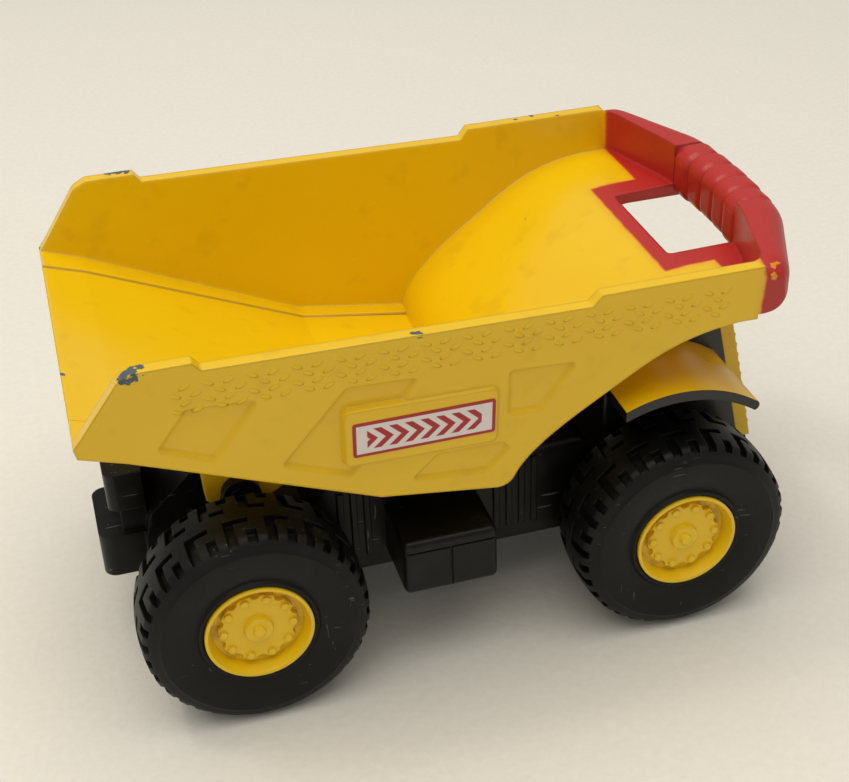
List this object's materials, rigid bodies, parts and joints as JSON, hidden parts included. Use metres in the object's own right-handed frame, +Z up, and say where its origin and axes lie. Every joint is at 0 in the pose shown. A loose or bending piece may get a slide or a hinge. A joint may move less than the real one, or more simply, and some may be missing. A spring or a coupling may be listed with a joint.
{
  "type": "toy dump truck",
  "caption": "Toy dump truck with a die-cast tipping bed, a carry handle over the cab, a moulded chassis and chunky tyres on rolling axles.",
  "frame": {"origin": "on the ground, halfway along the truck and midway between its sides", "axes": "+X towards the front of the truck, +Y to its left side, +Z up"},
  "size_m": [0.127, 0.073, 0.075],
  "materials": {
    "yellow_enamel": "glossy enamel on die-cast zinc, with the handle and the edge of its hole sprayed red",
    "yellow_painted_plastic": "satin yellow spray paint over black plastic",
    "yellow_plastic": "glossy moulded plastic",
    "black_plastic": "satin moulded plastic",
    "black_tyre": "satin moulded soft plastic",
    "dark_windows": "glossy smoked plastic",
    "steel_axle": "plain drawn wire",
    "black_steel": "blackened pin",
    "zinc_screws": "zinc-plated",
    "label_print": "printed self-adhesive label"
  },
  "bodies": {
    "chassis": {"chassis_frame": "black_plastic", "base_plate": "black_plastic", "base_screws": "zinc_screws", "toolbox_right": "black_plastic", "toolbox_left": "black_plastic", "cab_shell": "yellow_painted_plastic", "cab_windows": "dark_windows", "front_grille": "yellow_painted_plastic", "bed_pivot_pin": "black_steel"},
    "bed": {"dump_bed": "yellow_enamel", "side_decal_right": "label_print", "side_decal_left": "label_print"},
    "front_wheels": {"front_axle": "steel_axle", "hub_front_right": "yellow_plastic", "hub_front_left": "yellow_plastic", "tyre_front_right": "black_tyre", "tyre_front_left": "black_tyre"},
    "rear_wheels": {"rear_axle": "steel_axle", "hub_rear_right": "yellow_plastic", "hub_rear_left": "yellow_plastic", "tyre_rear_right": "black_tyre", "tyre_rear_left": "black_tyre"}
  },
  "joints": [
    {"name": "bed_tilt", "type": "hinge", "parent": "chassis", "child": "bed", "pos_m": [-0.0373, 0, 0.0363], "axis": [0, -1, 0], "range_deg": [0, 45]},
    {"name": "front_wheels_roll", "type": "hinge", "parent": "chassis", "child": "front_wheels", "pos_m": [0.039, 0, 0.02], "axis": [0, 1, 0], "continuous": true},
    {"name": "rear_wheels_roll", "type": "hinge", "parent": "chassis", "child": "rear_wheels", "pos_m": [-0.039, 0, 0.02], "axis": [0, 1, 0], "continuous": true}
  ]
}
